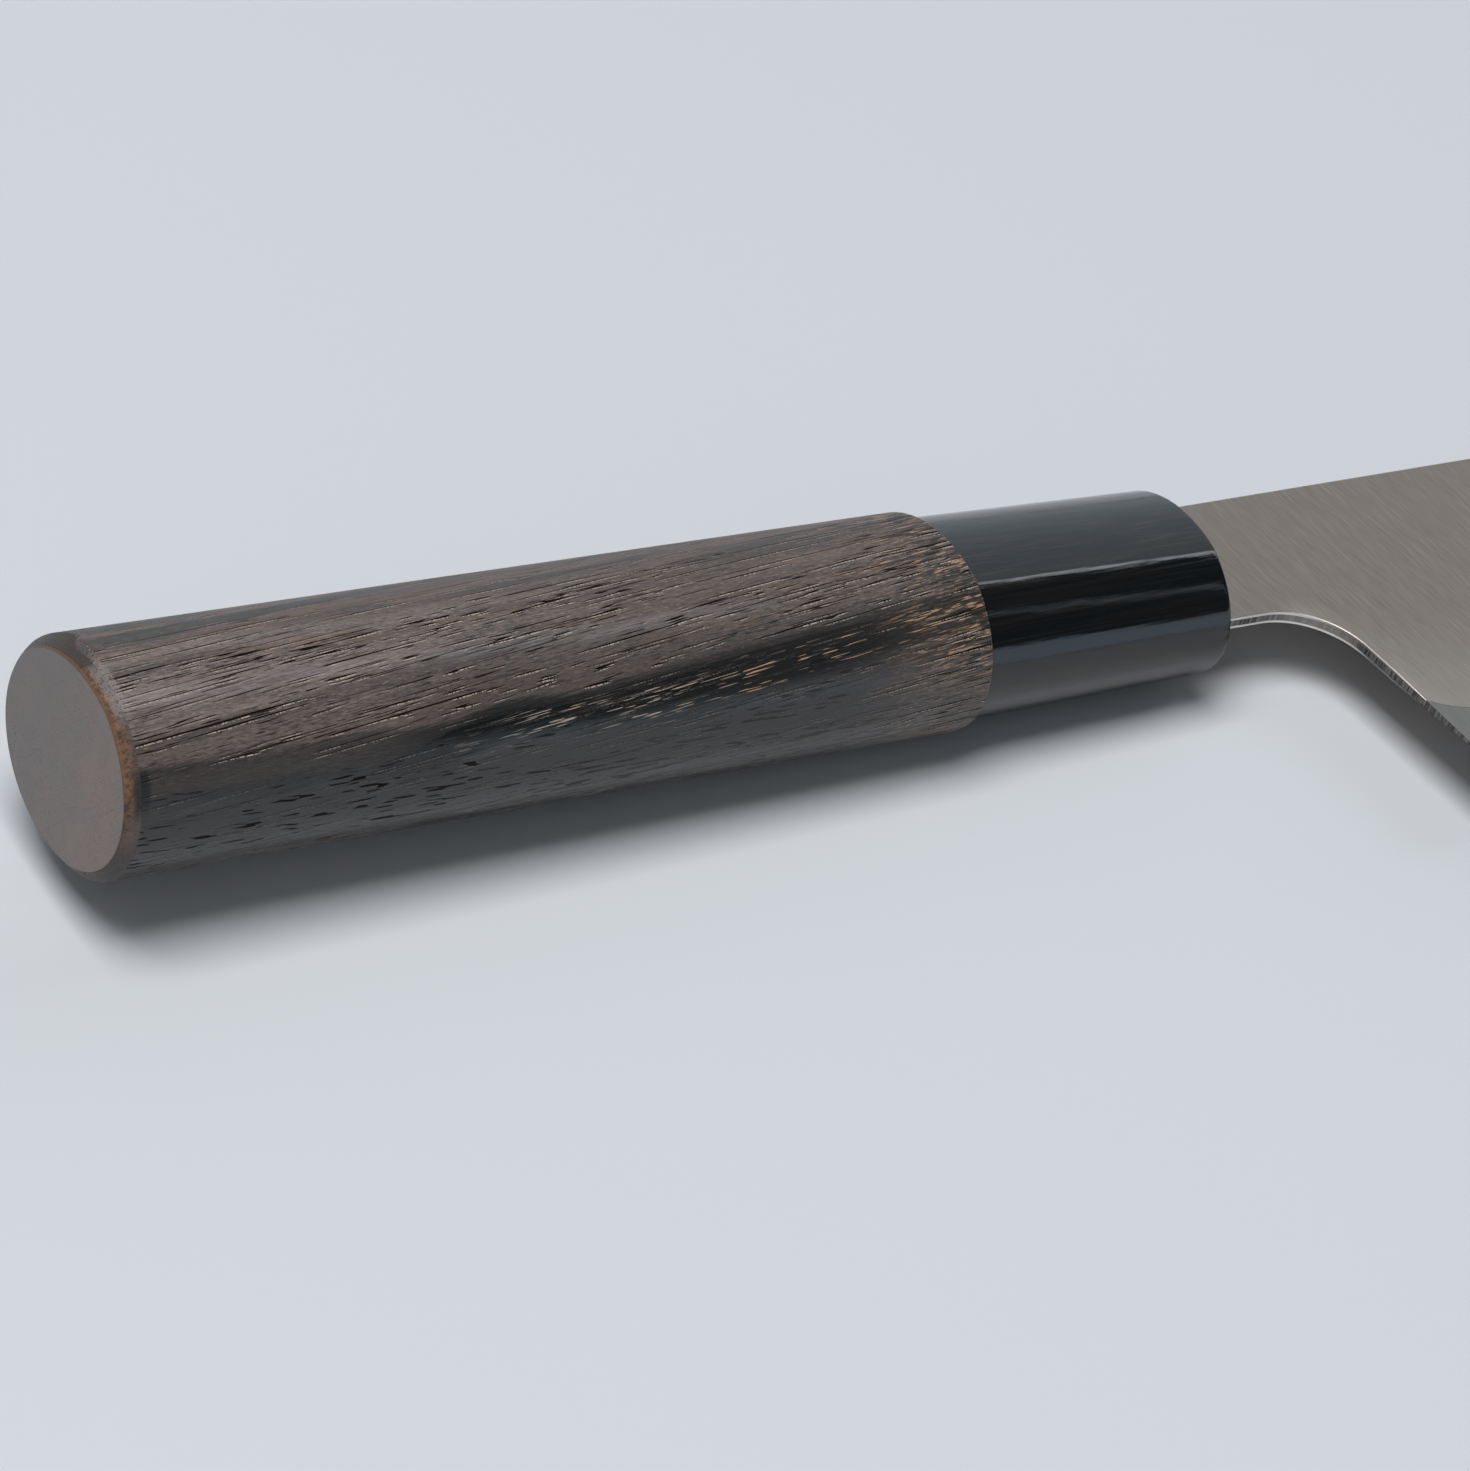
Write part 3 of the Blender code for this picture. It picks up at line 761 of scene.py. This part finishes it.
def arcPoints(start, heading, radius, turn, steps):
    side = math.copysign(1, turn)
    centre = start + side * radius * Vector((-math.sin(heading), math.cos(heading)))
    angles = [heading + turn * step / steps for step in range(1, steps + 1)]
    return [centre + side * radius * Vector((math.sin(a), -math.cos(a))) for a in angles]


def linePoints(start, end, step):
    # Points after start, up to end and with it
    count = max(1, round((end - start).length / step))
    return [start.lerp(end, i / count) for i in range(1, count + 1)]


def spineAt(x):
    return bladeSizes["spineOffset"] + x * math.tan(bladeSizes["spineRise"])


def bladeOutline():
    # The cutting edge from heel to tip, then the rest of the outline from the tip to the heel
    s = bladeSizes
    heel = Vector((s["heelSetback"], -s["heelDepth"]))
    tipX = s["heelSetback"] + s["length"]
    flatEnd = heel + Vector((s["edgeFlat"], 0))
    run = tipX - flatEnd.x
    bend = 2 * math.atan(s["tipRise"] / run)
    edge = [heel] + linePoints(heel, flatEnd, s["edgeStep"])
    edge += arcPoints(flatEnd, 0, run / math.sin(bend), bend, s["edgeArcSteps"])
    tip = edge[-1]
    noseStart = Vector((tipX - s["noseLength"], spineAt(tipX - s["noseLength"])))
    chord = tip - noseStart
    drop = 2 * (math.atan2(chord.y, chord.x) - s["spineRise"])
    radius = chord.length / (2 * math.sin(-drop / 2))
    nose = arcPoints(noseStart, s["spineRise"], radius, drop, s["noseSteps"])
    rim = nose[::-1] + [noseStart]
    tangX = -s["tangStart"]
    root, end = s["tangRootHeight"] / 2, s["tangEndHeight"] / 2
    corners = [(tangX, spineAt(tangX)), (tangX, root), (-s["tangLength"], end),
               (-s["tangLength"], -end), (tangX, -root), (tangX, -s["neckOffset"])]
    heading = s["heelLean"] - math.pi / 2
    lift = s["heelDepth"] - s["neckOffset"]
    corner = Vector((s["heelSetback"] - lift * math.tan(s["heelLean"]), -s["neckOffset"]))
    choilStart = corner - Vector((s["choilRadius"] * math.tan(-heading / 2), 0))
    for corner in [Vector(point) for point in corners] + [choilStart]:
        rim += linePoints(rim[-1], corner, s["neckStep"])
    rim += arcPoints(choilStart, 0, s["choilRadius"], heading, s["choilSteps"])
    rim += linePoints(rim[-1], heel, s["heelStep"])
    return edge, rim


def offsetLine(line, distance):
    # The line moved to its left by distance
    moved = []
    for i, point in enumerate(line):
        before = point - line[max(i - 1, 0)]
        after = line[min(i + 1, len(line) - 1)] - point
        normals = [Vector((-d.y, d.x)).normalized() for d in (before, after) if d.length > 1e-6]
        middle = sum(normals, Vector((0, 0))).normalized()
        moved.append(point + middle * distance / max(middle.dot(normals[0]), 0.5))
    return moved


def distanceTo(points, line):
    # Each point's distance to a line of points
    a = np.array([p[:] for p in line[:-1]])
    b = np.array([p[:] for p in line[1:]])
    best = np.full(len(points), np.inf)
    for start, end in zip(a, b):
        d = end - start
        t = np.clip(((points - start) @ d) / max(d @ d, 1e-12), 0, 1)
        best = np.minimum(best, np.linalg.norm(points - start - t[:, None] * d, axis=1))
    return best


def lineHeight(x):
    # How far the core shows above the edge: a wavy line, higher at the heel, lower at the tip
    s = bladeSizes
    wave = sum(high * math.sin(x / length + start) for high, length, start in s["lineWaves"])
    nearTip = max(0.0, (x - s["lineFallStart"]) / s["lineFallLength"])
    nearHeel = max(0.0, s["lineRiseStart"] - x) / s["lineRiseLength"]
    height = (s["line"] + wave) * (1 - s["lineFall"] * nearTip * nearTip)
    return height + nearHeel * nearHeel * s["lineRise"]


def bladePlan():
    # The whole blade as flat triangles, with lines along the rounded rim and where the core
    # comes out
    s = bladeSizes
    edge, rim = bladeOutline()
    edgeX = np.array([point.x for point in edge])
    edgeY = np.array([point.y for point in edge])

    def border(x, lift):
        return Vector((x, float(np.interp(x, edgeX, edgeY)) + lineHeight(x) + lift))

    first = s["heelSetback"] - s["lineBefore"]
    last = s["heelSetback"] + s["length"] + s["lineBeyond"]
    stops = np.arange(first, last, s["lineStep"])
    borders = [[border(x, lift) for x in stops] for lift in (0, s["grooveWidth"])]
    rounds = [offsetLine(rim, s["rimWidth"] * share) for share in s["rimRows"]]
    hone = [offsetLine(edge, s["honeWidth"])]
    loop = edge + rim[1:-1]
    points = list(loop)
    links = [(i, (i + 1) % len(loop)) for i in range(len(loop))]
    for line in borders + rounds + hone:
        first = len(points)
        points += line
        links += [(first + i, first + i + 1) for i in range(len(line) - 1)]
    fixed = np.array([point[:] for point in points])
    low, high = fixed.min(0), fixed.max(0)
    step = s["pointSpacing"]
    rowsY = np.arange(low[1], high[1], step * s["rowShare"])
    grid = np.array([(x + (j % 2) * step / 2, y) for j, y in enumerate(rowsY)
                     for x in np.arange(low[0], high[0], step)])
    clear = np.full(len(grid), np.inf)
    for line in [edge, rim] + borders:
        clear = np.minimum(clear, distanceTo(grid, line))
    points += [Vector(point) for point in grid[clear > step * s["clearShare"]]]
    verts, _, faces, _, _, _ = geometry.delaunay_2d_cdt(points, links, [], 1, 1e-4)
    flat = np.array([vert[:] for vert in verts])
    return flat, [tuple(face) for face in faces], edge, rim, border


def outerHalf(flat, edge, rim):
    # Half the blade's thickness: two flat faces, ground down to the edge, with an eased rim
    s = bladeSizes
    x, y = flat[:, 0], flat[:, 1]
    face = s["spineThickness"] / 2 - s["tipThinning"] * x - s["edgeThinning"] * (spineAt(x) - y)
    reach = distanceTo(flat, edge)
    nearTip = np.clip((x - s["bevelFallStart"]) / s["bevelFallLength"], 0, 1)
    ground = reach / (s["bevelHeight"] * (1 - s["bevelFall"] * nearTip))
    shoulder = np.clip(1 - np.abs(ground - 1) / s["shoulderWidth"], 0, 1)
    ground = ground - s["shoulderDrop"] * shoulder ** 2
    half = s["edgeHalf"] + (face - s["edgeHalf"]) * np.clip(ground, 0, 1)
    hone = s["honeHalf"] + (s["honeTop"] - s["honeHalf"]) * reach / s["honeWidth"]
    half = np.minimum(half, hone)
    outside = 1 - np.clip(distanceTo(flat, rim) / s["rimWidth"], 0, 1)
    eased = s["rimDrop"] * (1 - np.sqrt(1 - outside ** 2))
    return half, np.minimum(eased, half * 0.5)


def plateMesh(name, flat, faces, low, high, rimNear):
    # A solid over the plan's faces, between two heights given point by point
    used = sorted({i for face in faces for i in face})
    index = {old: new for new, old in enumerate(used)}
    count = len(used)
    near = [rimNear[i] for i in used] * 2
    verts = [(*flat[i], high[i]) for i in used] + [(*flat[i], low[i]) for i in used]
    top = [tuple(index[i] for i in face) for face in faces]
    sides = {(face[i - 1], face[i]) for face in top for i in range(len(face))}
    walls = [(b, a, a + count, b + count) for a, b in sides if (b, a) not in sides]
    under = [tuple(i + count for i in face[::-1]) for face in top]
    mesh = bpy.data.meshes.new(name)
    mesh.from_pydata(np.array(verts) * mm, [], top + under + sorted(walls))
    shine = mesh.attributes.new("rimNear", "FLOAT", "POINT")
    shine.data.foreach_set("value", near)
    mesh.validate()
    outward(mesh)
    mesh.transform(restMatrix)
    mesh.shade_smooth()
    mesh.set_sharp_from_angle(angle=bladeSizes["creaseAngle"])
    return mesh


def makeBlade(coreSteel, claddingSteel):
    s = bladeSizes
    flat, faces, edge, rim, border = bladePlan()
    half, eased = outerHalf(flat, edge, rim)
    lift = np.array([y - border(x, 0).y for x, y in flat])
    lift[flat[:, 0] < s["heelSetback"] - s["neckBefore"]] = np.inf
    # The core dips under the claddings' border, which leaves a fine groove
    dip = s["grooveDepth"] * np.clip(1 - lift / s["grooveReach"], 0, 1)
    coreHalf = np.where(lift > s["grooveWidth"] / 2, s["coreThickness"] / 2 - dip,
                        half - s["coreBack"])
    glow = 1 - distanceTo(flat, rim[-s["glowPoints"]:]) / s["glowReach"]
    rimNear = np.clip(glow, 0, 1) ** s["glowFade"]
    mesh = plateMesh("bladeCore", flat, faces, -coreHalf, coreHalf, rimNear)
    addMesh("bladeCore", mesh, coreSteel, "blade_core")
    middle = [np.mean([lift[i] for i in face]) for face in faces]
    covered = [face for face, m in zip(faces, middle) if m > s["grooveWidth"] + 1e-3]
    inner = np.full(len(flat), s["coreThickness"] / 2 + s["layerGap"])
    outer = np.maximum(half - eased, inner + s["leastCladding"])
    for name, node, side in (("claddingRight", "cladding_right", 1),
                             ("claddingLeft", "cladding_left", -1)):
        low, high = sorted((inner * side, outer * side), key=lambda h: h[0])
        mesh = plateMesh(name, flat, covered, low, high, rimNear)
        addMesh(name, mesh, claddingSteel, node)


steelLook = {
    "claddingTone": (0.317, 0.261, 0.214),
    "claddingPale": (0.413, 0.344, 0.287),
    # polished steel, also painted on the choil's rim as a highlight
    "polishedTone": (0.62, 0.55, 0.49),
    "coreTone": (0.275, 0.250, 0.225),
    "corePale": (0.345, 0.318, 0.290),
    "wallTone": (0.085, 0.08, 0.075),
    # painted highlight on the choil's wall, and its dimmer part down the heel
    "wallPale": (0.80, 0.785, 0.76),
    "wallDim": (0.32, 0.31, 0.30),
    "scratchDepth": 0.0000022,
    "claddingTurn": -6, "coreTurn": -2,  # degrees the scratches lean from straight across,
    "crossTurn": -7, "brightTurn": 4,    # and how much more a second set and the bright ones do
    "claddingDull": 0.36, "coreDull": 0.28,
}
steelPatterns = {
    "fine": ((0.09, 2.6, 2.6), 2, 0.6),
    "crossing": ((0.12, 4.0, 4.0), 2, 0.6),
    "broad": ((1.2, 22, 22), 2, 0.5),
    "bright": ((0.11, 6.0, 6.0), 0, 0.5),
    "cloud": ((26, 18, 18), 3, 0.5),
    "wallMarks": ((0.35, 0.35, 6), 3, 0.7),
}


def brushing(steel, turn):
    # Fine short scratches across the blade, with a few longer bright ones
    def scratches(name, aside=0):
        lie = Matrix.Rotation(math.radians(turn + aside), 3, "Z")
        return steel.pattern(name, steel.knifePoint(lie))

    fine, broad = scratches("fine"), scratches("broad")
    crossing = scratches("crossing", steelLook["crossTurn"])
    bright = scratches("bright", steelLook["brightTurn"]).rise(0.68, 0.76)
    return fine * 0.5 + crossing * 0.4 + broad * 0.1, fine + crossing, bright


def wallShare(steel):
    # 1 on walls that stand upright and 0 on the blade's flats
    _, _, level = steel.split(steel.node("ShaderNodeNewGeometry", out="Normal"))
    return level.math("ABSOLUTE").rise(0.93, 0.60)


def makeCladding():
    look = steelLook
    steel = Finish("brushedCladdingSteel", steelPatterns)
    streak, scratch, bright = brushing(steel, look["claddingTurn"])
    here = steel.knifePoint()
    along, up, out = steel.split(here)
    cloud = steel.pattern("cloud", here)
    tone = steel.blend(streak.rise(0.34, 0.66), look["claddingTone"], look["claddingPale"])
    rim = steel.node("ShaderNodeAttribute", {"attribute_name": "rimNear"}, out="Fac")
    lower = (up * -1.0 - along * 0.15).rise(6.0, 26.0)
    # The choil's wall is painted pale as a highlight, brightest at the neck and dimmer down the
    # heel
    dull = (up.rise(-7.6, -11.5) * out.rise(-0.2, 0.2)).math("MAXIMUM", up.rise(-13.0, -16.0))
    # The choil's polished rim is painted paler as a highlight, weaker down the heel; towards the
    # edge and on bright scratches the steel is paler too
    rim = rim * (1.0 - dull * 0.5)
    tone = steel.blend(rim * 0.40 + lower * 0.45 + bright * 0.30, tone, look["polishedTone"])
    wall = wallShare(steel)
    tone = steel.blend(wall, tone, steel.blend(dull, look["wallPale"], look["wallDim"]))
    rough = look["claddingDull"] + streak.rise(0.35, 0.65) * 0.06 + cloud * 0.05 + wall * 0.2
    steel.put({"Base Color": tone, "Metallic": 1.0, "Roughness": rough,
               "Normal": steel.bump(scratch, look["scratchDepth"])})
    return steel.material


def makeCore():
    look = steelLook
    steel = Finish("groundCoreSteel", steelPatterns)
    streak, scratch, _ = brushing(steel, look["coreTurn"])
    here = steel.knifePoint()
    along, up, _ = steel.split(here)
    tone = steel.blend(streak.rise(0.36, 0.64), look["coreTone"], look["corePale"])
    # The wall is filed across, and in the choil's bend it is painted paler as a highlight
    wall = wallShare(steel)
    marks = steel.pattern("wallMarks", here)
    wallTone = steel.blend(marks.rise(0.42, 0.62), look["wallTone"], look["coreTone"])
    bend = along.rise(6.0, 11.0) * up.rise(-15.0, -12.5)
    wallTone = steel.blend(bend * 0.6, wallTone, look["corePale"])
    tone = steel.blend(wall, tone, wallTone)
    rough = look["coreDull"] + streak * 0.10 + wall * 0.15
    steel.put({"Base Color": tone, "Metallic": 1.0, "Roughness": rough,
               "Normal": steel.bump(scratch + marks * wall, look["scratchDepth"])})
    return steel.material


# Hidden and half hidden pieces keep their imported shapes

hiddenLook = {
    "dowelTones": ((0.42, 0.27, 0.14), (0.60, 0.43, 0.26)),
    "dowelLines": (0.28, 0.17, 0.09),
    "resinTones": ((0.24, 0.17, 0.07), (0.36, 0.28, 0.14)),
    "sealTones": ((0.012, 0.010, 0.009), (0.035, 0.026, 0.018)),
    "dowelDull": 0.5, "resinDull": 0.22, "sealDull": 0.3,
    "dowelDepth": 0.00002, "resinDepth": 0.00005, "sealDepth": 0.00003,
}
hiddenPatterns = {
    "rings": ((60, 1.4, 1.4), 4, 0.6),
    "fibre": ((12, 0.2, 0.2), 2, 0.6),
    "lumps": ((2.5, 1.5, 1.5), 3, 0.5),
    "skin": ((0.9, 0.5, 0.5), 3, 0.5),
}


def makeDowelWood():
    wood = Finish("paleDowelWood", hiddenPatterns)
    here = wood.knifePoint()
    fibre = wood.pattern("fibre", here)
    tone = wood.blend(wood.pattern("rings", here).rise(0.35, 0.65), *hiddenLook["dowelTones"])
    tone = wood.blend(fibre.rise(0.6, 0.75) * 0.4, tone, hiddenLook["dowelLines"])
    wood.put({"Base Color": tone, "Roughness": hiddenLook["dowelDull"] + fibre * 0.15,
              "Normal": wood.bump(fibre, hiddenLook["dowelDepth"])})
    return wood.material


def makeResin():
    resin = Finish("amberResin", hiddenPatterns)
    lumps = resin.pattern("lumps", resin.knifePoint())
    tone = resin.blend(lumps.rise(0.35, 0.65), *hiddenLook["resinTones"])
    resin.put({"Base Color": tone, "Roughness": hiddenLook["resinDull"] + lumps * 0.15,
               "Normal": resin.bump(lumps, hiddenLook["resinDepth"])})
    return resin.material


def makeSealant():
    seal = Finish("darkSealant", hiddenPatterns)
    skin = seal.pattern("skin", seal.knifePoint())
    tone = seal.blend(skin.rise(0.4, 0.65), *hiddenLook["sealTones"])
    seal.put({"Base Color": tone, "Roughness": hiddenLook["sealDull"] + skin * 0.2,
              "Normal": seal.bump(skin, hiddenLook["sealDepth"])})
    return seal.material


def dressPacked():
    for name, material in (("dowel", makeDowelWood()), ("tang_adhesive", makeResin()),
                           ("mouth_seal", makeSealant())):
        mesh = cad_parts[name].data
        mesh.materials.clear()
        mesh.materials.append(material)


# Floor, lights and camera

stageLook = {
    "floorTone": (0.690, 0.712, 0.742),
    "floorDull": 0.7,
    "floorSize": 5.0,
    "roomTone": (0.0375, 0.0475, 0.0575),
    "farTone": (0.62, 0.66, 0.70),       # what the camera and gloss see, but not the dark end at +X
    "glossShare": 0.55,
}
lamps = {
    # place, the point it faces, width, height, power in watts and tint
    "overhead": ((-0.74, -0.06, 2.10), (-0.05, 0.0, 0.0), 1.20, 1.15, 41.0, (1.0, 1.0, 1.0)),
    "backPanel": ((2.73, 1.61, 2.21), (0.0, 0.0, 2.21), 3.80, 4.42, 29.1, (0.90, 1.0, 1.10)),
    "edgeStrip": ((0.885, 0.054, 0.951), (0.0, 0.0, 0.02), 0.13, 0.60, 0.55, (0.95, 1.0, 1.05)),
    "thinStrip": ((0.872, -0.540, 0.790), (0.0, 0.0, 0.02), 0.045, 0.40, 0.034, (0.9, 1.0, 1.1)),
    "lowCard": ((1.96, -2.59, 0.46), (0.0, 0.0, 0.46), 5.25, 0.91, 11.3, (0.84, 1.0, 1.15)),
    "fill": ((-1.30, -1.20, 1.30), (0.0, 0.0, 0.0), 1.6, 1.6, 4.6, (1.0, 1.0, 1.0)),
}
cameraSetup = {
    "place": (-0.37108204, -0.3141901, 0.34282673),
    "turn": (50.64591641, -13.37373725, -31.25131555),
    "lens": 139.613975, "sensor": 36, "clip": (0.01, 20),
}


def makeFloor():
    half = stageLook["floorSize"] / 2
    corners = [(-half, -half, 0), (half, -half, 0), (half, half, 0), (-half, half, 0)]
    mesh = bpy.data.meshes.new("floor")
    mesh.from_pydata(corners, [], [(0, 1, 2, 3)])
    floor = bpy.data.objects.new("floor", mesh)
    bpy.context.scene.collection.objects.link(floor)
    plaster = Finish("palePlaster")
    plaster.put({"Base Color": (*stageLook["floorTone"], 1), "Roughness": stageLook["floorDull"]})
    mesh.materials.append(plaster.material)


def makeLights():
    world = bpy.data.worlds.new("softRoom")
    bpy.context.scene.world = world
    world.use_nodes = True
    air = NodeMaker(world.node_tree)
    direct = air.node("ShaderNodeLightPath", out="Is Camera Ray")
    toEnd, _, _ = air.split(air.node("ShaderNodeTexCoord", out="Generated"))
    gloss = direct.output("Is Glossy Ray") * toEnd.rise(0.45, 0.15) * stageLook["glossShare"]
    tone = air.blend(direct.math("MAXIMUM", gloss), stageLook["roomTone"], stageLook["farTone"])
    air.feed(world.node_tree.nodes["Background"], {"Color": tone})
    for name, (place, target, width, height, power, tint) in lamps.items():
        lamp = bpy.data.lights.new(name, "AREA")
        lamp.color = tint
        lamp.shape = "RECTANGLE"
        lamp.size, lamp.size_y, lamp.energy = width, height, power
        stand = bpy.data.objects.new(name, lamp)
        stand.location = place
        facing = Vector(target) - Vector(place)
        stand.rotation_euler = facing.to_track_quat("-Z", "Y").to_euler()
        bpy.context.scene.collection.objects.link(stand)


def makeCamera():
    lens = bpy.data.cameras.new("camera")
    lens.sensor_fit, lens.sensor_width = "HORIZONTAL", cameraSetup["sensor"]
    lens.lens = cameraSetup["lens"]
    lens.clip_start, lens.clip_end = cameraSetup["clip"]
    camera = bpy.data.objects.new("camera", lens)
    camera.location = cameraSetup["place"]
    camera.rotation_euler = [math.radians(angle) for angle in cameraSetup["turn"]]
    bpy.context.scene.collection.objects.link(camera)
    bpy.context.scene.camera = camera


bpy.context.scene.view_settings.view_transform = "Standard"
makeCamera()
makeLights()
makeFloor()
print("stage ready")
makeGrip(makeWood())
print("grip ready")
makeFerrule(makePakkawood())
print("ferrule ready")
makeBlade(makeCore(), makeCladding())
print("blade ready")
dressPacked()
